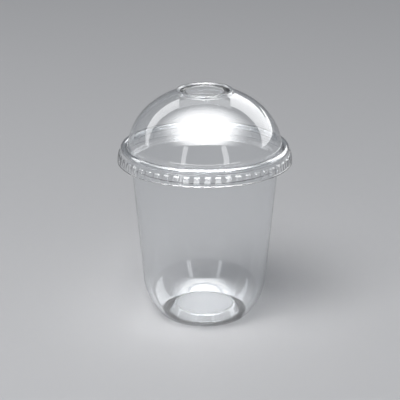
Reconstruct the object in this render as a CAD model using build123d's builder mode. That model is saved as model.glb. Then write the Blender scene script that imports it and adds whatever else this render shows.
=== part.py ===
from build123d import *
import os
from math import acos, asin, atan2, cos, hypot, pi, sin, tan

# A clear plastic drinks cup with a press-on dome lid.
# Both are thin formed sheets, round about the Z axis. The origin is the centre
# of the ring on which the cup stands, and +Z points up. Sizes are millimetres.

# ---- cup --------------------------------------------------------------------
cup_wall = 0.4              # thickness of the formed sheet
rim_radius = 48.8           # outside of the rolled rim
rim_height = 104.3          # top of the rolled rim above the table
roll_radius = 1.6           # outside radius of the rim's roll
roll_turn = 300             # degrees through which the sheet is rolled
neck_draft = 0.5            # how far the neck leans in towards its foot
neck_upright = 2.2          # upright stretch of the neck just below the roll
neck_depth = 8.8            # foot of the neck below the top of the rim
shoulder_step = 2.4         # how far the stacking shoulder steps in from the neck
shoulder_drop = 1.5         # height of the sloping shoulder
body_foot_radius = 35.4     # where the body's straight side meets the corner's slope
body_foot_height = 9.2
heel_radius = 25.9          # where the corner's slope meets the table
base_ring_width = 5.6       # the flat ring on which the cup stands
panel_radius = 18.0         # edge of the raised panel in the middle of the base
panel_height = 4.0          # that edge above the table
panel_crown = 0.5           # how far the panel's middle is domed up
neck_bend = 12.0            # bend radii, all on the outer side of the sheet
shoulder_bend = 0.9
heel_bend = 1.6
heel_room = 1.1             # share of the heel's bend kept clear of the round corner
ring_bend = 0.9
panel_bend = 1.2
crown_bend = 60.0

# ---- dome lid ---------------------------------------------------------------
lid_wall = 0.3
snap_clearance = 0.1        # between the lid's channel and the cup's rolled rim
dome_height = 36.0          # top of the dome's ellipse above the roll's centre
dome_sink = 1.0             # centre of the ellipse below the roll's centre
dome_foot_height = 4.3      # lower end of the ellipse above the roll's centre
dome_foot_run = 1.7         # straight stretch before the dome turns in to the valley
dome_foot_bend = 5.0
dome_runs = 4               # arcs that make up the elliptical dome
dome_arc_share = 0.95       # how much of each tangent line its arc takes
valley_width = 0.9          # the narrow valley between dome and channel
valley_depth = 0.8          # its floor below the roll's centre
valley_bend = 0.38
hole_radius = 11.1          # straw hole
recess_radius = 15.0        # the sunk flat round the hole
recess_depth = 0.9          # that flat below the top of the crown ring
recess_bend = 0.4
ring_inner_radius = 15.5    # the crown ring's flat top
ring_outer_radius = 16.3
ring_foot_radius = 17.0     # where the crown ring meets the dome
ring_proud = 1.5            # top of the ring above the dome at the ring's foot
ring_top_bend = 0.5
ring_foot_bend = 0.6
skirt_upright = 0.8         # upright stretch of the skirt under the channel
skirt_depth = 7.0           # foot of the skirt below the roll's centre
skirt_lean = 1.3            # how far the skirt leans out towards its foot
skirt_bend = 6.0
lip_reach = 0.5             # how far the flared lip reaches out from the skirt
lip_drop = 0.5              # height of the lip
lip_bend = 0.7
rib_count = 52              # small ribs pressed outwards all round the skirt
rib_width = 3.7
rib_length = 4.7
rib_rise = 0.45             # how far a rib stands out of the skirt
rib_depth = 4.2             # middle of the ribs below the roll's centre
rib_corner = 1.2
rib_phase = 1.6             # degrees from the X axis to the first rib


def bent_line(points, bends):
    """Straight runs joined by tangent bends, one radius for each corner."""
    return FilletPolyline(*points, radius=bends)


def parallel(points, bends, shift):
    """The same bent line moved to its left by shift, with the bends to match."""
    headings = [atan2(b[1] - a[1], b[0] - a[0]) for a, b in zip(points, points[1:])]
    befores = [headings[0]] + headings
    afters = headings + [headings[-1]]
    moved = []
    for (x, y), before, after in zip(points, befores, afters):
        middle = (before + after) / 2
        reach = shift / cos((after - before) / 2)
        moved.append((x - reach * sin(middle), y + reach * cos(middle)))
    lefts = [after > before for before, after in zip(headings, headings[1:])]
    changed = [bend - shift if left else bend + shift for bend, left in zip(bends, lefts)]
    return moved, changed


# ---- the rolled rim and the lid's channel over it share one centre -----------
roll_centre = (rim_radius - roll_radius, rim_height - roll_radius)
channel_radius = roll_radius + snap_clearance + lid_wall

# ---- cup: one sheet from the middle of the base to the inside of the roll -----
neck_top_radius = roll_centre[0] - roll_radius + cup_wall
neck_foot = (neck_top_radius - neck_draft, rim_height - neck_depth)
body_top = (neck_foot[0] - shoulder_step, neck_foot[1] - shoulder_drop)
body_lean = atan2(body_top[0] - body_foot_radius, body_top[1] - body_foot_height)
slope_run = hypot(body_foot_radius - heel_radius, body_foot_height)
slope_angle = atan2(body_foot_height, body_foot_radius - heel_radius)
corner_turn = pi / 2 - body_lean - slope_angle
# The corner between body and base is the largest arc that leaves room for the heel.
corner_bend = (slope_run - heel_room * heel_bend * tan(slope_angle / 2)) / tan(corner_turn / 2)

cup_points = [
    (0, panel_height + panel_crown),
    (panel_radius / 2, panel_height + panel_crown),
    (panel_radius, panel_height),
    (heel_radius - base_ring_width, 0),
    (heel_radius, 0),
    (body_foot_radius, body_foot_height),
    body_top,
    neck_foot,
    (neck_top_radius, roll_centre[1] - neck_upright),
    (neck_top_radius, roll_centre[1]),
]
cup_bends = [
    crown_bend,
    panel_bend,
    ring_bend,
    heel_bend,
    corner_bend,
    shoulder_bend,
    shoulder_bend,
    neck_bend,
]
cup_inner_points, cup_inner_bends = parallel(cup_points, cup_bends, cup_wall)
with BuildPart() as cup:
    with BuildSketch(Plane.XZ):
        with BuildLine():
            outer = bent_line(cup_points, cup_bends)
            inner = bent_line(cup_inner_points, cup_inner_bends)
            roll_hollow = CenterArc(roll_centre, roll_radius - cup_wall, 180, -roll_turn)
            roll_face = CenterArc(roll_centre, roll_radius, 180, -roll_turn)
            Line(roll_hollow @ 1, roll_face @ 1)
            Line(outer @ 0, inner @ 0)
        make_face()
    revolve(axis=Axis.Z)
cup.part.label = "cup"


# ---- dome lid: one sheet from the straw hole to the lip -----------------------
channel_inner_radius = roll_centre[0] - channel_radius
skirt_radius = roll_centre[0] + channel_radius
dome_centre = roll_centre[1] - dome_sink
dome_half_height = dome_height + dome_sink
first_angle = acos(ring_foot_radius / channel_inner_radius)
last_angle = asin((dome_foot_height + dome_sink) / dome_half_height)


def on_dome(angle, stretch=1.0):
    """A point on the dome's ellipse, or beyond it where stretch is over 1."""
    return (
        channel_inner_radius * stretch * cos(angle),
        dome_centre + dome_half_height * stretch * sin(angle),
    )


def dome_arcs():
    """Corners and bends of the tangent lines that wrap the elliptical dome."""
    step = (last_angle - first_angle) / dome_runs
    corners = []
    bends = []
    for index in range(dome_runs):
        begin = on_dome(first_angle + index * step)
        end = on_dome(first_angle + (index + 1) * step)
        corner = on_dome(first_angle + (index + 0.5) * step, 1 / cos(step / 2))
        before = (corner[0] - begin[0], corner[1] - begin[1])
        after = (end[0] - corner[0], end[1] - corner[1])
        turn = atan2(before[1], before[0]) - atan2(after[1], after[0])
        reach = dome_arc_share * min(hypot(*before), hypot(*after))
        corners.append(corner)
        bends.append(reach / tan(turn / 2))
    return corners, bends


dome_corners, dome_bends = dome_arcs()
dome_end = on_dome(last_angle)
last_run = hypot(dome_end[0] - dome_corners[-1][0], dome_end[1] - dome_corners[-1][1])
foot_stretch = 1 + dome_foot_run / last_run
dome_foot = (
    dome_corners[-1][0] + foot_stretch * (dome_end[0] - dome_corners[-1][0]),
    dome_corners[-1][1] + foot_stretch * (dome_end[1] - dome_corners[-1][1]),
)
ring_foot = on_dome(first_angle)
ring_top = ring_foot[1] + ring_proud
valley_floor = roll_centre[1] - valley_depth

dome_points = [
    (hole_radius, ring_top - recess_depth),
    (recess_radius, ring_top - recess_depth),
    (ring_inner_radius, ring_top),
    (ring_outer_radius, ring_top),
    ring_foot,
    *dome_corners,
    dome_foot,
    (channel_inner_radius - valley_width, valley_floor),
    (channel_inner_radius, valley_floor),
    (channel_inner_radius, roll_centre[1]),
]
dome_line_bends = [
    recess_bend,
    ring_top_bend,
    ring_top_bend,
    ring_foot_bend,
    *dome_bends,
    dome_foot_bend,
    valley_bend,
    valley_bend,
]
skirt_foot = (skirt_radius + skirt_lean, roll_centre[1] - skirt_depth)
skirt_points = [
    (skirt_radius, roll_centre[1]),
    (skirt_radius, roll_centre[1] - skirt_upright),
    skirt_foot,
    (skirt_foot[0] + lip_reach, skirt_foot[1] - lip_drop),
]
skirt_bends = [skirt_bend, lip_bend]

# A rib is a shallow pad pressed out of the leaning skirt, and hollow behind.
lean_run = skirt_depth - skirt_upright
rib_radius = skirt_radius + skirt_lean * (rib_depth - skirt_upright) / lean_run
rib_plane = Plane(
    (rib_radius, 0, roll_centre[1] - rib_depth),
    x_dir=(0, 1, 0),
    z_dir=(lean_run, 0, skirt_lean),
)

with BuildPart() as rib:
    with BuildSketch(rib_plane.offset(-lid_wall / 2)):
        RectangleRounded(rib_width, rib_length, rib_corner)
    extrude(amount=rib_rise + lid_wall / 2)

with BuildPart() as rib_hollow:
    with BuildSketch(rib_plane.offset(-2 * lid_wall)):
        RectangleRounded(rib_width - 2 * lid_wall, rib_length - 2 * lid_wall, rib_corner - lid_wall)
    extrude(amount=rib_rise + lid_wall)

with BuildPart() as dome_lid:
    with BuildSketch(Plane.XZ):
        with BuildLine():
            dome_outside = bent_line(dome_points, dome_line_bends)
            dome_inside = bent_line(*parallel(dome_points, dome_line_bends, -lid_wall))
            CenterArc(roll_centre, channel_radius, 180, -180)
            CenterArc(roll_centre, channel_radius - lid_wall, 180, -180)
            skirt_outside = bent_line(skirt_points, skirt_bends)
            skirt_inside = bent_line(*parallel(skirt_points, skirt_bends, -lid_wall))
            Line(dome_outside @ 0, dome_inside @ 0)
            Line(skirt_outside @ 1, skirt_inside @ 1)
        make_face()
    revolve(axis=Axis.Z)
    with PolarLocations(0, rib_count, start_angle=rib_phase):
        add(rib.part)
        add(rib_hollow.part, mode=Mode.SUBTRACT)
dome_lid.part.label = "dome_lid"

os.makedirs("parts", exist_ok=True)
for piece in (cup.part, dome_lid.part):
    print(piece.label, round(piece.volume), "mm3", len(piece.solids()), "solid", piece.bounding_box())
export_step(cup.part, "parts/cup.step")
export_step(dome_lid.part, "parts/dome_lid.step")
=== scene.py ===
# %% [markdown]
# # A clear cup and its dome lid
# The object is two thin sheets of clear plastic, each drawn by vacuum over a round mould:
# a cup with a rolled rim, and a dome lid that snaps over it. Clear things show only what
# they bend and mirror, so the work here is in three places: exact section curves, a
# material that behaves like a thin clear sheet, and lights worth mirroring. We first load
# the imported model, which fixes the main sizes, and print its boxes.

# %% Load the fixed frame
from math import acos, asin, atan2, cos, hypot, pi, radians, sin, tan

import bmesh
import bpy
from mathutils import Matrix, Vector


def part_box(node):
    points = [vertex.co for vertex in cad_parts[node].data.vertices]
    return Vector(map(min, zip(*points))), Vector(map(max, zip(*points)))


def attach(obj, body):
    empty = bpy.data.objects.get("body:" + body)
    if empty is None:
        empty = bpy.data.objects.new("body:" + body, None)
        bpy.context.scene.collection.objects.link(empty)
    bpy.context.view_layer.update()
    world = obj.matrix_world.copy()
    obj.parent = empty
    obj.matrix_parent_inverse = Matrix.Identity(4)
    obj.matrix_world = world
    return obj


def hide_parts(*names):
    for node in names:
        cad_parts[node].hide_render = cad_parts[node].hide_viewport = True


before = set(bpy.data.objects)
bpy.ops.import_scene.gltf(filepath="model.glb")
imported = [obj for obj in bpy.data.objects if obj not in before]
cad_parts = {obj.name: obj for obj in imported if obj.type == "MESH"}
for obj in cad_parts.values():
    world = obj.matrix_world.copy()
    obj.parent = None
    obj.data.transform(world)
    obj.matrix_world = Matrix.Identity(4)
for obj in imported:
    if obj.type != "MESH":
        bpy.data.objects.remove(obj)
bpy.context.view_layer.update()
MM = 0.001

cup_low, cup_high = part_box("cup")
lid_low, lid_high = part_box("dome_lid")
rim_radius = cup_high.x
rim_height = cup_high.z
lip_radius = lid_high.x
crown_height = lid_high.z
print("cup", cup_low, cup_high, "lid", lid_low, lid_high)

# %% [markdown]
# ## Drawing a section as a bent line
# A formed sheet is straight runs joined by tangent bends, so its section is quickest to
# say as a few corners with a bend radius each. One helper rounds the corners, and another
# steps sideways from the finished line to find the sheet's other face. A Bezier curve
# would also work, but it hides the radii that a mould maker would name.

# %% Round the corners of a line
BEND_STEP = radians(7)      # turn between two points of a bend
LONG_STEP = 2.2 * MM        # longest stretch between two points of a large bend


def bent_line(corners, bends):
    """Points of a line that runs through corners, each inner corner rounded by its bend."""
    line = [corners[0]]
    for before, corner, after, bend in zip(corners, corners[1:], corners[2:], bends):
        heading = atan2(corner[1] - before[1], corner[0] - before[0])
        leaving = atan2(after[1] - corner[1], after[0] - corner[0])
        turn = leaving - heading
        reach = bend * tan(abs(turn) / 2)
        side = 1 if turn > 0 else -1
        start = (corner[0] - reach * cos(heading), corner[1] - reach * sin(heading))
        centre = (start[0] - side * bend * sin(heading), start[1] + side * bend * cos(heading))
        steps = max(2, round(abs(turn) / BEND_STEP), round(abs(turn) * bend / LONG_STEP))
        for index in range(steps + 1):
            angle = heading + turn * index / steps
            line.append((centre[0] + side * bend * sin(angle), centre[1] - side * bend * cos(angle)))
    line.append(corners[-1])
    return line


print("points in one square bend of 1 mm", len(bent_line([(0, 0), (MM, 0), (MM, MM)], [MM])) - 2)


# %% Arcs, even spacing and the sheet's other face
def arc(centre, radius, first, last, steps):
    """Points on a circle, from one angle in degrees to another, without the first point."""
    angles = [radians(first + (last - first) * index / steps) for index in range(1, steps + 1)]
    return [(centre[0] + radius * cos(a), centre[1] + radius * sin(a)) for a in angles]


def spaced(line, longest):
    """The same line with extra points wherever a straight run is longer than longest."""
    result = [line[0]]
    for (x0, y0), (x1, y1) in zip(line, line[1:]):
        parts = max(1, round(hypot(x1 - x0, y1 - y0) / longest))
        for index in range(1, parts + 1):
            result.append((x0 + (x1 - x0) * index / parts, y0 + (y1 - y0) * index / parts))
    return result


def beside(line, distance):
    """The sheet's other face: the line moved to its left by distance."""
    headings = [atan2(b[1] - a[1], b[0] - a[0]) for a, b in zip(line, line[1:])]
    moved = []
    for (x, y), before, after in zip(line, headings[:1] + headings, headings + headings[-1:]):
        middle = (before + after) / 2
        reach = distance / cos((after - before) / 2)
        moved.append((x - reach * sin(middle), y + reach * cos(middle)))
    return moved


print("a 10 mm line in steps of 2 mm has", len(spaced([(0, 0), (10, 0)], 2)), "points")

# %% [markdown]
# ## The cup's section
# The cup is one sheet from the middle of its base to the inside of the rolled rim. The
# raised panel keeps the base off the table and stiff, the large round corner gives the cup
# its soft foot, and the small shoulder under the rim keeps stacked cups from jamming. We
# walk along the outer face. The roll itself is three hundred degrees of a small circle.

# %% Roll, neck and shoulder of the cup
CUP_WALL = 0.4 * MM
ROLL_RADIUS = 1.6 * MM
ROLL_TURN = 300             # degrees through which the sheet is rolled
ROLL_STEPS = 26
NECK_DRAFT = 0.5 * MM       # how far the neck leans in towards its foot
NECK_UPRIGHT = 2.2 * MM     # upright stretch just below the roll
NECK_DEPTH = 8.8 * MM
NECK_BEND = 12 * MM
SHOULDER_STEP = 2.4 * MM
SHOULDER_DROP = 1.5 * MM
SHOULDER_BEND = 0.9 * MM
roll_centre = (rim_radius - ROLL_RADIUS, rim_height - ROLL_RADIUS)
neck_radius = roll_centre[0] - ROLL_RADIUS + CUP_WALL
neck_foot = (neck_radius - NECK_DRAFT, rim_height - NECK_DEPTH)
body_top = (neck_foot[0] - SHOULDER_STEP, neck_foot[1] - SHOULDER_DROP)
print("body radius mm under the shoulder", round(body_top[0] / MM, 1))

# %% Round corner of the cup
HEEL_RADIUS = 25.9 * MM     # where the corner's slope meets the table
HEEL_BEND = 1.6 * MM
HEEL_ROOM = 1.1             # share of the heel's bend kept clear of the round corner
corner_foot = (35.4 * MM, 9.2 * MM)
body_lean = atan2(body_top[0] - corner_foot[0], body_top[1] - corner_foot[1])
slope_run = hypot(corner_foot[0] - HEEL_RADIUS, corner_foot[1])
slope_angle = atan2(corner_foot[1], corner_foot[0] - HEEL_RADIUS)
corner_turn = pi / 2 - body_lean - slope_angle
heel_reach = HEEL_ROOM * HEEL_BEND * tan(slope_angle / 2)
corner_bend = (slope_run - heel_reach) / tan(corner_turn / 2)
print("corner bend mm", round(corner_bend / MM, 1))

# %% Section of the cup
BASE_RING_WIDTH = 5.6 * MM  # the flat ring on which the cup stands
RING_BEND = 0.9 * MM
PANEL_RADIUS = 18.0 * MM    # the raised panel in the middle of the base
PANEL_HEIGHT = 4.0 * MM
PANEL_CROWN = 0.5 * MM
PANEL_BEND = 1.2 * MM
CROWN_BEND = 60 * MM
LONGEST_RUN = 6 * MM

cup_corners = [
    (0, PANEL_HEIGHT + PANEL_CROWN),
    (PANEL_RADIUS / 2, PANEL_HEIGHT + PANEL_CROWN),
    (PANEL_RADIUS, PANEL_HEIGHT),
    (HEEL_RADIUS - BASE_RING_WIDTH, 0),
    (HEEL_RADIUS, 0),
    corner_foot,
    body_top,
    neck_foot,
    (neck_radius, roll_centre[1] - NECK_UPRIGHT),
    (neck_radius, roll_centre[1]),
]
cup_bends = [
    CROWN_BEND,
    PANEL_BEND,
    RING_BEND,
    HEEL_BEND,
    corner_bend,
    SHOULDER_BEND,
    SHOULDER_BEND,
    NECK_BEND,
]
cup_outside = spaced(bent_line(cup_corners, cup_bends), LONGEST_RUN)
cup_inside = beside(cup_outside, CUP_WALL)
cup_outside += arc(roll_centre, ROLL_RADIUS - CUP_WALL, 180, 180 - ROLL_TURN, ROLL_STEPS)
cup_inside += arc(roll_centre, ROLL_RADIUS, 180, 180 - ROLL_TURN, ROLL_STEPS)
print("cup section points", len(cup_outside))

# %% [markdown]
# ## The lid's crown and dome
# The lid is a second sheet, drawn from the straw hole outwards. A small ring stands up
# round the sunk flat of the hole and stiffens it, and from there the dome falls away as
# half an ellipse. We give the ring as corners, and walk down the ellipse in even steps,
# because its bend changes all the way and no single radius would fit.

# %% Crown ring of the lid
LID_WALL = 0.3 * MM
SNAP_CLEARANCE = 0.1 * MM   # between the lid's channel and the cup's rolled rim
channel_radius = ROLL_RADIUS + SNAP_CLEARANCE + LID_WALL
dome_radius = roll_centre[0] - channel_radius
skirt_radius = roll_centre[0] + channel_radius
DOME_SINK = 1.0 * MM        # centre of the ellipse below the roll's centre
DOME_HEIGHT = 36.0 * MM
dome_centre = roll_centre[1] - DOME_SINK
dome_half_height = DOME_HEIGHT + DOME_SINK
HOLE_RADIUS = 11.1 * MM
RECESS_RADIUS = 15.0 * MM   # the sunk flat round the hole
RECESS_DEPTH = 0.9 * MM
RECESS_BEND = 0.4 * MM
RING_INNER = 15.5 * MM
RING_OUTER = 16.3 * MM
RING_FOOT = 17.0 * MM
RING_TOP_BEND = 0.5 * MM
RING_FOOT_BEND = 0.6 * MM
RING_FOOT_TURN = 0.03       # radians of the dome that the ring's foot takes up
first_angle = acos(RING_FOOT / dome_radius)
dome_start = first_angle - RING_FOOT_TURN


def on_dome(angle):
    """A point on the dome's ellipse."""
    return (dome_radius * cos(angle), dome_centre + dome_half_height * sin(angle))


crown_line = bent_line(
    [
        (HOLE_RADIUS, crown_height - RECESS_DEPTH),
        (RECESS_RADIUS, crown_height - RECESS_DEPTH),
        (RING_INNER, crown_height),
        (RING_OUTER, crown_height),
        on_dome(first_angle),
        on_dome(dome_start),
    ],
    [RECESS_BEND, RING_TOP_BEND, RING_TOP_BEND, RING_FOOT_BEND],
)
print("crown ring stands mm above its foot", round((crown_height - on_dome(first_angle)[1]) / MM, 2))

# %% Dome
DOME_FOOT_HEIGHT = 4.3 * MM  # lower end of the ellipse above the roll's centre
DOME_STEPS = 44
dome_end_angle = asin((DOME_FOOT_HEIGHT + DOME_SINK) / dome_half_height)
dome_turn = dome_end_angle - dome_start
dome_line = [on_dome(dome_start + dome_turn * index / DOME_STEPS) for index in range(1, DOME_STEPS + 1)]
print("dome points", len(dome_line), "ending at radius mm", round(dome_line[-1][0] / MM, 1))

# %% [markdown]
# ## The valley, the channel and the skirt
# At the dome's foot the sheet dips into a narrow valley before it arches over the cup's
# rolled rim: that arch is the channel that snaps on. The skirt hangs down outside the rim,
# leaning out like a collar, and ends in a small flared lip. Valley and skirt are corners
# and bends again. The channel is an arc about the centre of the cup's roll, so that the lid
# fits whatever the rim's size is.

# %% Valley and channel
DOME_FOOT_RUN = 1.7 * MM    # straight stretch before the dome turns in to the valley
DOME_FOOT_BEND = 5.0 * MM
VALLEY_WIDTH = 0.9 * MM
VALLEY_DEPTH = 0.8 * MM
VALLEY_BEND = 0.38 * MM
CHANNEL_STEPS = 30
before_foot, dome_end = dome_line[-2:]
foot_length = hypot(dome_end[0] - before_foot[0], dome_end[1] - before_foot[1])
foot_stretch = DOME_FOOT_RUN / foot_length
dome_foot = (
    dome_end[0] + foot_stretch * (dome_end[0] - before_foot[0]),
    dome_end[1] + foot_stretch * (dome_end[1] - before_foot[1]),
)
valley_floor = roll_centre[1] - VALLEY_DEPTH
valley_line = bent_line(
    [
        dome_end,
        dome_foot,
        (dome_radius - VALLEY_WIDTH, valley_floor),
        (dome_radius, valley_floor),
        (dome_radius, roll_centre[1]),
    ],
    [DOME_FOOT_BEND, VALLEY_BEND, VALLEY_BEND],
)
channel_line = arc(roll_centre, channel_radius, 180, 0, CHANNEL_STEPS)
print("valley points", len(valley_line), "channel points", len(channel_line))

# %% Skirt and lip
SKIRT_UPRIGHT = 0.8 * MM
SKIRT_DEPTH = 7.0 * MM      # foot of the skirt below the roll's centre
SKIRT_LEAN = 1.3 * MM       # how far the skirt leans out towards its foot
SKIRT_BEND = 6 * MM
LIP_REACH = 0.5 * MM
LIP_DROP = 0.5 * MM
LIP_BEND = 0.7 * MM
skirt_foot = (skirt_radius + SKIRT_LEAN, roll_centre[1] - SKIRT_DEPTH)
skirt_line = bent_line(
    [
        (skirt_radius, roll_centre[1]),
        (skirt_radius, roll_centre[1] - SKIRT_UPRIGHT),
        skirt_foot,
        (skirt_foot[0] + LIP_REACH, skirt_foot[1] - LIP_DROP),
    ],
    [SKIRT_BEND, LIP_BEND],
)
print("lip radius mm", round(skirt_line[-1][0] / MM, 2), "packed lid", round(lip_radius / MM, 2))

# %% [markdown]
# ## Rows for the ribs
# The ribs will be pressed out of the skirt later, by moving its points. A moved surface is
# only as sharp as its rows are close, so the skirt gets a row about every half millimetre,
# and twice as many where a rib's top and foot slope back into the skirt. We could subdivide
# the whole lid instead, but that would spend most of the faces on the smooth dome.

# %% Section of the lid
RIB_TOP_DEPTH = 2.1 * MM    # below the roll's centre
RIB_FOOT_DEPTH = 6.75 * MM
rib_top = roll_centre[1] - RIB_TOP_DEPTH
rib_foot = roll_centre[1] - RIB_FOOT_DEPTH
rib_length = rib_top - rib_foot
RIB_SHELF = 0.20            # share of a rib's length that is its sloping top
RIB_TOE = 0.14              # and its sloping foot
SKIRT_ROW = 0.45 * MM       # usual distance between two rows of the skirt
skirt_outside = []
for point in spaced(skirt_line[1:], SKIRT_ROW):
    if skirt_outside:
        above = skirt_outside[-1]
        middle = ((point[0] + above[0]) / 2, (point[1] + above[1]) / 2)
        down = (rib_top - middle[1]) / rib_length
        if 0 < down < RIB_SHELF or 1 - RIB_TOE < down < 1:
            skirt_outside.append(middle)
    skirt_outside.append(point)
dome_outside = crown_line + dome_line + valley_line[1:] + channel_line
lid_outside = dome_outside + skirt_outside
lid_inside = beside(lid_outside, -LID_WALL)
print("lid section points", len(lid_outside), "of which skirt", len(skirt_outside))

# %% [markdown]
# ## Spinning a section into a closed sheet
# A Screw or Spin modifier would turn the line about the axis, but it gives every ring the
# same number of points. The ribbed skirt needs many more than the dome, so we lay the
# rings ourselves: outer face, cut edge, inner face and back, as one closed skin.


# %% Bands between rings
def band(here, there):
    """Faces between two rings, whose counts are equal or whole multiples."""
    if len(here) < len(there):
        return fans(here, there)
    if len(here) > len(there):
        return [tuple(reversed(face)) for face in fans(there, here)]
    after = here[1:] + here[:1]
    beyond = there[1:] + there[:1]
    return list(zip(here, after, beyond, there))


def fans(few, many):
    """Faces from a ring of few points to one of many. A single point gets triangles."""
    ratio = len(many) // len(few)
    faces = []
    for index, point in enumerate(few):
        edge = [many[(index * ratio + step) % len(many)] for step in range(ratio + 1)]
        if len(few) == 1:
            faces += [(point, edge[step + 1], edge[step]) for step in range(ratio)]
        else:
            faces.append((point, few[(index + 1) % len(few)], *reversed(edge)))
    return faces


print("faces from a point to a ring of 6:", len(band([0], [1, 2, 3, 4, 5, 6])))


# %% Closed sheet from rows
AXIS_RADIUS = 1e-7          # a row nearer to the axis than this is a single point


def cut_edge(outer_end, inner_end):
    """Two points across the cut edge, so that smooth shading turns close to its corners."""
    across = (inner_end[0] - outer_end[0], inner_end[1] - outer_end[1])
    return [(outer_end[0] + across[0] * share, outer_end[1] + across[1] * share) for share in (0.3, 0.7)]


def closed_skin(mesh):
    """Turn all faces of a mesh outwards, and say whether it is closed and what it holds."""
    skin = bmesh.new()
    skin.from_mesh(mesh)
    bmesh.ops.recalc_face_normals(skin, faces=skin.faces[:])
    open_edges = sum(not edge.is_manifold for edge in skin.edges)
    volume = skin.calc_volume(signed=True)
    skin.to_mesh(mesh)
    skin.free()
    print(mesh.name, "open edges", open_edges, "volume mm3", round(volume / MM ** 3))


def spin(name, rows, counts, closed, trimmed, swell=None):
    """A mesh object of rings round Z, one for each row of the section.

    Bands that start at a row named in trimmed take the second material. Closed joins the
    last ring to the first, and swell says how far a point is pushed outwards.
    """
    points = []
    rings = []
    for (radius, height), count in zip(rows, counts):
        first = len(points)
        for index in range(1 if radius < AXIS_RADIUS else count):
            angle = 2 * pi * index / count
            out = radius + (swell(height, angle) if swell else 0.0)
            points.append((out * sin(angle), -out * cos(angle), height))
        rings.append(list(range(first, len(points))))
    faces = []
    cut = []
    followers = rings[1:] + (rings[:1] if closed else [])
    for row, (here, there) in enumerate(zip(rings, followers)):
        new_faces = band(here, there)
        faces += new_faces
        cut += [int(row in trimmed)] * len(new_faces)
    mesh = bpy.data.meshes.new(name)
    mesh.from_pydata(points, [], faces)
    closed_skin(mesh)
    mesh.polygons.foreach_set("use_smooth", [True] * len(mesh.polygons))
    mesh.polygons.foreach_set("material_index", cut)
    piece = bpy.data.objects.new(name, mesh)
    bpy.context.scene.collection.objects.link(piece)
    return piece


# %% [markdown]
# ## The cup as a mesh
# The cup is one spin, from the middle of its base up the outer face, round the cut edge
# inside the roll and back down the inner face. The bands of the cut edge are noted, because
# a trimmed edge is frosted where the formed faces are clear.

# %% Build the cup
CUP_RING = 288
cup_rows = cup_outside + cut_edge(cup_outside[-1], cup_inside[-1]) + cup_inside[::-1]
cup_trim = range(len(cup_outside) - 1, len(cup_outside) + 2)
cup_piece = spin("clear_cup", cup_rows, [CUP_RING] * len(cup_rows), closed=False, trimmed=cup_trim)
print("cup faces", len(cup_piece.data.polygons))

# %% [markdown]
# ## The lid and its ribs
# Fifty-two small ribs stiffen the skirt and give the fingers a grip. Each is a wedge that
# stands proud at its top, grows wider and flatter towards its foot, and has soft edges all
# round. We push the skirt's points outwards as they are laid. Because both faces of the
# sheet move together, the ribs are hollow behind, as pressed ribs are.

# %% Shape of a rib
RIB_COUNT = 52
RIB_RISE = 0.85 * MM
RIB_FALL = 0.35             # share of the rise that is lost towards the foot
RIB_WIDTH = 3.7 * MM
RIB_SPREAD = 1.0 * MM       # how much wider a rib is at its foot
RIB_SIDE = 0.4 * MM         # width of the sloping sides
RIB_PHASE = radians(1.6)    # how far the first rib is turned from the front
rib_pitch = 2 * pi / RIB_COUNT


def ease(share):
    """A smooth step from 0 to 1."""
    share = min(1.0, max(0.0, share))
    return share * share * (3 - 2 * share)


def rib_swell(height, angle):
    """How far the skirt stands out at this height and angle."""
    if not rib_foot < height < rib_top:
        return 0.0
    down = (rib_top - height) / rib_length
    turned = (angle - RIB_PHASE + rib_pitch / 2) % rib_pitch
    from_middle = abs(turned - rib_pitch / 2) * skirt_radius
    half_width = (RIB_WIDTH + RIB_SPREAD * down) / 2
    across = ease((half_width - from_middle) / RIB_SIDE)
    along = ease(down / RIB_SHELF) * ease((1 - down) / RIB_TOE)
    return RIB_RISE * (1 - RIB_FALL * down) * across * along


rib_shoulder = rib_top - rib_length * RIB_SHELF
print("rib pitch mm", round(rib_pitch * skirt_radius / MM, 2))
print("rib proud mm at its shelf", round(rib_swell(rib_shoulder, RIB_PHASE) / MM, 2))

# %% Build the lid
DOME_RING = 156
SKIRT_RING = DOME_RING * 6
lid_counts = [DOME_RING] * len(dome_outside) + [SKIRT_RING] * len(skirt_outside)
lip_rows = cut_edge(lid_outside[-1], lid_inside[-1])
hole_rows = cut_edge(lid_inside[0], lid_outside[0])
lid_rows = lid_outside + lip_rows + lid_inside[::-1] + hole_rows
ring_counts = lid_counts + [SKIRT_RING] * len(lip_rows)
ring_counts += lid_counts[::-1] + [DOME_RING] * len(hole_rows)
lip_trim = range(len(lid_outside) - 1, len(lid_outside) + 2)
hole_trim = range(len(lid_rows) - 3, len(lid_rows))
lid_trim = [*lip_trim, *hole_trim]
lid_piece = spin("clear_dome_lid", lid_rows, ring_counts, closed=True, trimmed=lid_trim, swell=rib_swell)
lid_piece.data.calc_loop_triangles()
print("lid faces", len(lid_piece.data.polygons), "triangles", len(lid_piece.data.loop_triangles))

# %% [markdown]
# ## Shader arithmetic as plain Python
# Node maths reads badly as a list of nodes and links. One small class wraps a socket, so
# that `mask * 0.4 + 0.1` adds its Math nodes by itself. Every other node comes from one
# method that takes the node's type, its settings and the values or links of its sockets.


# %% The socket wrapper
def set_stops(ramp, stops):
    """Give a ramp its two grey stops."""
    for element, (position, shade) in zip(ramp.elements, stops):
        element.position = position
        element.color = (shade, shade, shade, 1)


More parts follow.
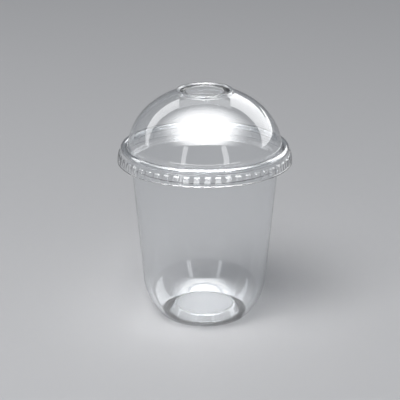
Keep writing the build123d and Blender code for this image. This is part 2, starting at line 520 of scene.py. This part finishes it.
class Wire:
    """A socket of a node. Arithmetic on it adds Math nodes."""

    def __init__(self, tree, socket):
        self.tree = tree
        self.socket = socket

    def node(self, kind, settings=None, values=None):
        """A new node of any kind, with its settings made first and then its sockets."""
        made = self.tree.nodes.new(kind)
        for name, value in (settings or {}).items():
            if name == "stops":
                set_stops(made.color_ramp, value)
            else:
                setattr(made, name, value)
        for name, value in (values or {}).items():
            if isinstance(value, Wire):
                self.tree.links.new(value.socket, made.inputs[name])
            else:
                made.inputs[name].default_value = value
        return made

    def wire(self, kind, output, settings=None, values=None):
        """The named output of a new node, wrapped."""
        return Wire(self.tree, self.node(kind, settings, values).outputs[output])

    def parts(self):
        """The X, Y and Z of a vector, each wrapped."""
        split = self.node("ShaderNodeSeparateXYZ", None, {0: self})
        return [Wire(self.tree, output) for output in split.outputs]

    def into(self, socket):
        """Link this socket to an input."""
        self.tree.links.new(self.socket, socket)

    def maths(self, operation, first, second):
        """The result of a Math node."""
        return self.wire("ShaderNodeMath", 0, {"operation": operation}, {0: first, 1: second})

    def __add__(self, other):
        return self.maths("ADD", self, other)

    __radd__ = __add__

    def __mul__(self, other):
        return self.maths("MULTIPLY", self, other)

    __rmul__ = __mul__

    def __sub__(self, other):
        return self.maths("SUBTRACT", self, other)

    def __rsub__(self, other):
        return self.maths("SUBTRACT", other, self)

    def __pow__(self, power):
        return self.maths("POWER", self, power)

    def __rpow__(self, base):
        return self.maths("POWER", base, self)


# %% New materials and mixed shaders
def new_material(name):
    """An empty node material, its surface input and a Wire of the piece's own coordinates."""
    material = bpy.data.materials.new(name)
    material.use_nodes = True
    tree = material.node_tree
    tree.nodes.clear()
    output = tree.nodes.new("ShaderNodeOutputMaterial")
    place = Wire(tree, tree.nodes.new("ShaderNodeTexCoord").outputs["Object"])
    print("material", name)
    return material, output.inputs["Surface"], place


def mixed(factor, first, second):
    """Two shaders mixed: all of the first where the factor is 0, all of the second at 1."""
    return factor.wire("ShaderNodeMixShader", 0, None, {0: factor, 1: first, 2: second})


# %% [markdown]
# ## Clear formed plastic
# A thin clear sheet is glass in all but weight: it mirrors about five percent head on and
# far more at a glancing angle. What tells it from glass is in the small things. The sheet
# is never quite flat, so mirrored lights have a slow ripple; stretching leaves it slightly
# milky in places; and a long look through it, near the outline, is greyer. The walls have
# their real thickness, so the Principled shader bends light as the sheet does. Each of
# these traits gets a small function, and the sheet is put together from them.

# %% Noise and smooth ranges
MIX_FIRST = 6               # a colour Mix node's two colours
MIX_SECOND = 7
MIX_RESULT = 2              # and its colour output


def noise(place, seed, scale, detail, roughness):
    """Grey noise. The seed is a fourth coordinate, so no two sheets are alike."""
    return place.wire(
        "ShaderNodeTexNoise",
        "Fac",
        {"noise_dimensions": "4D"},
        {"Vector": place, "W": seed, "Scale": scale, "Detail": detail, "Roughness": roughness},
    )


def eased(value, start, end, top):
    """Rises smoothly from 0 to top while the value goes from start to end."""
    return value.wire(
        "ShaderNodeMapRange",
        0,
        {"interpolation_type": "SMOOTHSTEP"},
        {"Value": value, "From Min": start, "From Max": end, "To Min": 0.0, "To Max": top},
    )


print("colour Mix sockets", MIX_FIRST, MIX_SECOND, MIX_RESULT)

# %% Traits of the sheet
PLASTIC_IOR = 1.57
HEAD_ON = (0.965, 0.972, 0.978, 1)
AT_A_GLANCE = (0.82, 0.84, 0.86, 1)
FROST_EDGE = 18.3 * MM      # radius past which the base panel is clear
FROST_INSIDE = 16.0 * MM    # radius within which it is fully frosted
FROST_TOP = 12.0 * MM       # height above which nothing is frosted
FROST_LOW = 8.0 * MM        # height below which the frost is full


def sheet_tint(place):
    """Almost colourless head on, greyer where the look through the sheet is long."""
    facing = place.wire("ShaderNodeLayerWeight", "Facing", None, {"Blend": 0.5})
    colours = {0: facing ** 3.0, MIX_FIRST: HEAD_ON, MIX_SECOND: AT_A_GLANCE}
    return place.wire("ShaderNodeMix", MIX_RESULT, {"data_type": "RGBA"}, colours)


def base_frost(place, frost):
    """Frost on the raised panel of the base, and 0 past its edge and above it."""
    x, y, z = place.parts()
    radius = (x * x + y * y) ** 0.5
    return eased(radius, FROST_EDGE, FROST_INSIDE, frost) * eased(z, FROST_TOP, FROST_LOW, 1.0)


def sheet_shadow(place):
    """What a lamp meets: clear, but dark at the share that the sheet would mirror away."""
    mirrored = place.wire("ShaderNodeFresnel", 0, None, {"IOR": PLASTIC_IOR})
    passed = place.wire("ShaderNodeBsdfTransparent", 0, None, {"Color": (0.96, 0.965, 0.97, 1)})
    stopped = place.wire("ShaderNodeBsdfDiffuse", 0, None, {"Color": (0.02, 0.02, 0.02, 1)})
    return mixed(mirrored, passed, stopped)


print("head-on share mirrored", round(((PLASTIC_IOR - 1) / (PLASTIC_IOR + 1)) ** 2, 3))


# %% The clear sheet
def clear_sheet(name, ripple_size, ripple_depth, pull, haze, seed, frost=0.0):
    """A clear plastic with its ripples, drawn out along Z by pull, and patches of haze.

    Frost is the extra roughness of the thick, barely stretched middle of the base.
    """
    material, surface, place = new_material(name)
    stretched = place.wire("ShaderNodeMapping", 0, None, {"Vector": place, "Scale": (1, 1, pull)})
    slow = noise(stretched, seed, scale=1 / ripple_size, detail=2.0, roughness=0.45)
    fine = noise(place, seed + 3.0, scale=900.0, detail=3.0, roughness=0.6)
    cloud = noise(place, seed + 7.0, scale=60.0, detail=4.0, roughness=0.6)
    stops = [(0.45, 0.0), (0.8, 1.0)]
    milk = cloud.wire("ShaderNodeValToRGB", "Color", {"stops": stops}, {"Fac": cloud})
    roughness = milk * haze + fine * 0.02 + 0.01
    if frost:
        panel = base_frost(place, frost)
        roughness = roughness + panel * (fine * 0.5 + 0.75)
    ripple = {"Height": slow, "Strength": 1.0, "Distance": ripple_depth}
    sheet = place.wire(
        "ShaderNodeBsdfPrincipled",
        0,
        None,
        {
            "Base Color": sheet_tint(place),
            "Roughness": roughness,
            "IOR": PLASTIC_IOR,
            "Transmission Weight": 1.0,
            "Normal": place.wire("ShaderNodeBump", "Normal", None, ripple),
        },
    )
    if frost:
        milky = place.wire("ShaderNodeBsdfDiffuse", 0, None, {"Color": (0.9, 0.91, 0.93, 1)})
        sheet = mixed(panel * (fine * 0.3 + 0.08), sheet, milky)
    lamp_ray = place.wire("ShaderNodeLightPath", "Is Shadow Ray")
    mixed(lamp_ray, sheet, sheet_shadow(place)).into(surface)
    return material


cup_material = clear_sheet(
    "clear_cup_sheet",
    ripple_size=14 * MM,
    ripple_depth=0.05 * MM,
    pull=0.35,
    haze=0.05,
    seed=1.0,
    frost=0.3,
)
lid_material = clear_sheet(
    "clear_lid_sheet",
    ripple_size=8 * MM,
    ripple_depth=0.04 * MM,
    pull=1.0,
    haze=0.04,
    seed=5.0,
)
cup_piece.data.materials.append(cup_material)
lid_piece.data.materials.append(lid_material)

# %% [markdown]
# ## The trimmed edge
# Where the sheet was cut, at the lip, the straw hole and inside the roll, the edge is
# slightly rough, and it is bright because the sheet leads light along to it. A light pipe
# like that would need very many rays, so a little white mixed into a rough clear edge
# stands for the light that comes out there.

# %% The trimmed edge
# The same noise places the rough chips and the patches of painted glow on the edge.
CHIP_AND_GLOW_SCALE = 1100.0         # chips of about a millimetre


def trimmed_edge(name):
    """The cut edge of the sheet: lightly frosted, with a patchy share of white that is painted light, for
    the light the sheet leads out at its edge.
    """
    material, surface, place = new_material(name)
    chip_and_glow_noise = {"Vector": place, "Scale": CHIP_AND_GLOW_SCALE, "Detail": 3.0}
    chips_and_glow = place.wire("ShaderNodeTexNoise", "Fac", None, chip_and_glow_noise)
    clear = place.wire(
        "ShaderNodeBsdfPrincipled",
        0,
        None,
        {
            "Base Color": (0.97, 0.975, 0.98, 1),
            "Roughness": chips_and_glow * 0.4 + 0.15,
            "IOR": PLASTIC_IOR,
            "Transmission Weight": 1.0,
        },
    )
    # Painted light: this white diffuse share stands for light that the sheet leads out at its cut edge.
    painted_edge_glow = place.wire("ShaderNodeBsdfDiffuse", 0, None, {"Color": (0.9, 0.91, 0.92, 1)})
    mixed(chips_and_glow * 0.5, clear, painted_edge_glow).into(surface)
    return material


edge_material = trimmed_edge("trimmed_edge")
cup_piece.data.materials.append(edge_material)
lid_piece.data.materials.append(edge_material)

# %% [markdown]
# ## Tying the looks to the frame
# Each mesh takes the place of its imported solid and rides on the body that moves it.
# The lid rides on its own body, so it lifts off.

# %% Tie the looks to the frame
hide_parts("cup")
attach(cup_piece, "cup")
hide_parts("dome_lid")
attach(lid_piece, "lid")
print("pieces", cup_piece.name, lid_piece.name)

# %% [markdown]
# ## Floor
# A plain pale floor, large enough that its edge never shows. One face is enough, with a
# slight change of roughness so that it isn't a perfect sheet of paint.

# %% Floor
FLOOR = 6.0                 # metres from its middle to each side
floor_corners = [(-FLOOR, -FLOOR, 0), (FLOOR, -FLOOR, 0), (FLOOR, FLOOR, 0), (-FLOOR, FLOOR, 0)]
floor_mesh = bpy.data.meshes.new("floor")
floor_mesh.from_pydata(floor_corners, [], [(0, 1, 2, 3)])
floor_piece = bpy.data.objects.new("floor", floor_mesh)
bpy.context.scene.collection.objects.link(floor_piece)
floor_material, floor_surface, floor_place = new_material("pale_floor")
grain = {"Vector": floor_place, "Scale": 400.0, "Detail": 4.0}
speckle = floor_place.wire("ShaderNodeTexNoise", "Fac", None, grain)
paint = {"Base Color": (0.60, 0.60, 0.61, 1), "Roughness": speckle * 0.1 + 0.6}
floor_place.wire("ShaderNodeBsdfPrincipled", 0, None, paint).into(floor_surface)
floor_mesh.materials.append(floor_material)
print("floor side m", 2 * FLOOR)

# %% [markdown]
# ## Light
# Clear plastic is drawn by what it mirrors, so each lamp is placed for its reflection. Only
# the key lights the floor. The others shine on the plastic alone, by light linking, so they
# can be bright enough to mirror without washing out the floor. A few large lamps on
# everything would be simpler, but then the streaks couldn't be tuned one by one.

# %% Which lamp shines on what
def receivers(name, pieces):
    """A collection of pieces that lamps can be limited to."""
    group = bpy.data.collections.new(name)
    for piece in pieces:
        group.objects.link(piece)
    print("lamps on", name, "reach", [piece.name for piece in pieces])
    return group


plastic = receivers("plastic", [cup_piece, lid_piece])
lid_alone = receivers("lid_alone", [lid_piece])
cup_alone = receivers("cup_alone", [cup_piece])
ground = receivers("ground", [floor_piece])


# %% A soft box
def soft_box(name, place, aim, size, radiance, only):
    """A rectangular lamp at place, facing aim, as bright as radiance says."""
    lamp = bpy.data.lights.new(name, "AREA")
    lamp.shape = "RECTANGLE"
    lamp.size, lamp.size_y = size
    lamp.energy = radiance * pi * size[0] * size[1]
    holder = bpy.data.objects.new(name, lamp)
    holder.location = place
    direction = Vector(aim) - Vector(place)
    holder.rotation_euler = direction.to_track_quat("-Z", "Y").to_euler()
    holder.visible_camera = False
    bpy.context.scene.collection.objects.link(holder)
    holder.light_linking.receiver_collection = only
    print(name, "watts", round(lamp.energy, 1))
    return holder


def ceiling_box(name, x, y, size, radiance, only, height=1.1):
    """A soft box that hangs level over a point of the floor."""
    return soft_box(name, (x, y, height), (x, y, 0), size, radiance, only)


def fade(holder, core_power, core_share, back_reach, front_power):
    """Dim a lamp smoothly from its bright core to its two sides, its back and its front edge.

    A lamp's Parametric runs from 0 to 1 across it, and from its front edge to its back edge.
    """
    holder.data.use_nodes = True
    tree = holder.data.node_tree
    parametric = Wire(tree, tree.nodes.new("ShaderNodeNewGeometry").outputs["Parametric"])
    across, along, _ = parametric.parts()
    from_middle = across * 2 - 1
    inwards = 1 - from_middle * from_middle
    sides = inwards ** core_power * core_share + inwards ** 1.5 * (1 - core_share)
    past = (along - (1 - back_reach)) * (1 / back_reach)
    back = past.maths("MAXIMUM", past, 0.0)
    strength = sides * (1 - back * back) ** 1.5 * along ** front_power
    strength.into(tree.nodes["Emission"].inputs["Strength"])


# %% [markdown]
# ## The lamps and what they draw
# The key, broad and soft, gives the floor its light and the cup its faint shadow. The long
# box overhead, bright in the middle and fading to its sides and back, draws the soft bell
# on the dome. The foot glow, a little lower and on the cup alone, does the same in the
# round foot of the cup. The low strip in front, on the lid alone, lights the ribs and the
# lip. The banks behind draw the curved streaks on the flanks, the veil lifts the back of
# the crown, and two upright strips in front stand as faint bars low on the dome.

# %% Key, overhead box, low strip and foot glow
soft_box("key_box", (-0.5, -0.9, 1.9), aim=(0, 0.1, 0), size=(1.4, 1.4), radiance=5.5, only=ground)
overhead = ceiling_box("overhead_box", 0, -0.3575, size=(3.6, 1.705), radiance=15.0, only=plastic)
soft_box("low_strip", (0, -1.5, 0.06), aim=(0, 0, 0.06), size=(3.8, 0.12), radiance=3.5, only=lid_alone)
foot_glow = ceiling_box("foot_glow", 0, -0.36, size=(2.4, 1.6), radiance=14.0, only=cup_alone, height=1.04)
fade(overhead, core_power=5.0, core_share=0.8, back_reach=0.6, front_power=0.25)
fade(foot_glow, core_power=2.0, core_share=0.9, back_reach=0.6, front_power=1.2)

# %% Banks, veil and front strips
ceiling_box("bank_left", -3.19, 0.88, size=(5.5, 0.66), radiance=2.4, only=plastic)
ceiling_box("bank_right", 4.345, 1.98, size=(7.81, 2.64), radiance=2.6, only=plastic)
ceiling_box("bank_far", 5.5, 5.225, size=(5.5, 4.95), radiance=2.6, only=plastic)
ceiling_box("veil_box", 0, 0.638, size=(0.946, 0.66), radiance=1.0, only=plastic)
soft_box("strip_left", (-0.72, -1.2, 0.5), aim=(0, 0, 0.1), size=(0.17, 0.95), radiance=2.6, only=plastic)
soft_box("strip_right", (0.72, -1.2, 0.5), aim=(0, 0, 0.1), size=(0.20, 0.95), radiance=2.6, only=plastic)

# %% [markdown]
# ## Surroundings
# A dim even grey all round fills what no lamp reaches. Light that passes through cup and
# lid crosses many faces, most of all at the rolled rim, so the paths are allowed enough
# bounces to come out again.

# %% World and light paths
world = bpy.data.worlds.new("studio")
bpy.context.scene.world = world
world.use_nodes = True
background = world.node_tree.nodes["Background"]
background.inputs["Color"].default_value = (0.5, 0.52, 0.55, 1)
background.inputs["Strength"].default_value = 0.45
bpy.context.scene.cycles.transparent_max_bounces = 32
bpy.context.scene.cycles.transmission_bounces = 16
bpy.context.scene.cycles.max_bounces = 20
bpy.context.scene.view_settings.view_transform = "Standard"
print("world", world.name, "bounces", bpy.context.scene.cycles.max_bounces)

# %% [markdown]
# ## Camera
# A long lens from a little above, looking down about twenty degrees, as one would look at
# a cup on a table. The long lens keeps the rim's near and far sides almost the same width.

# %% Camera
LOOK_DOWN = 19.51           # degrees
camera_data = bpy.data.cameras.new("camera")
camera_data.sensor_width = 36
camera_data.lens = 139.5
camera_data.clip_end = 50
camera = bpy.data.objects.new("camera", camera_data)
camera.location = (-2.8 * MM, -862.5 * MM, 375.5 * MM)
camera.rotation_euler = (radians(90 - LOOK_DOWN), 0, 0)
bpy.context.scene.collection.objects.link(camera)
bpy.context.scene.camera = camera
print("camera", tuple(round(part, 3) for part in camera.location), "lens mm", camera_data.lens)
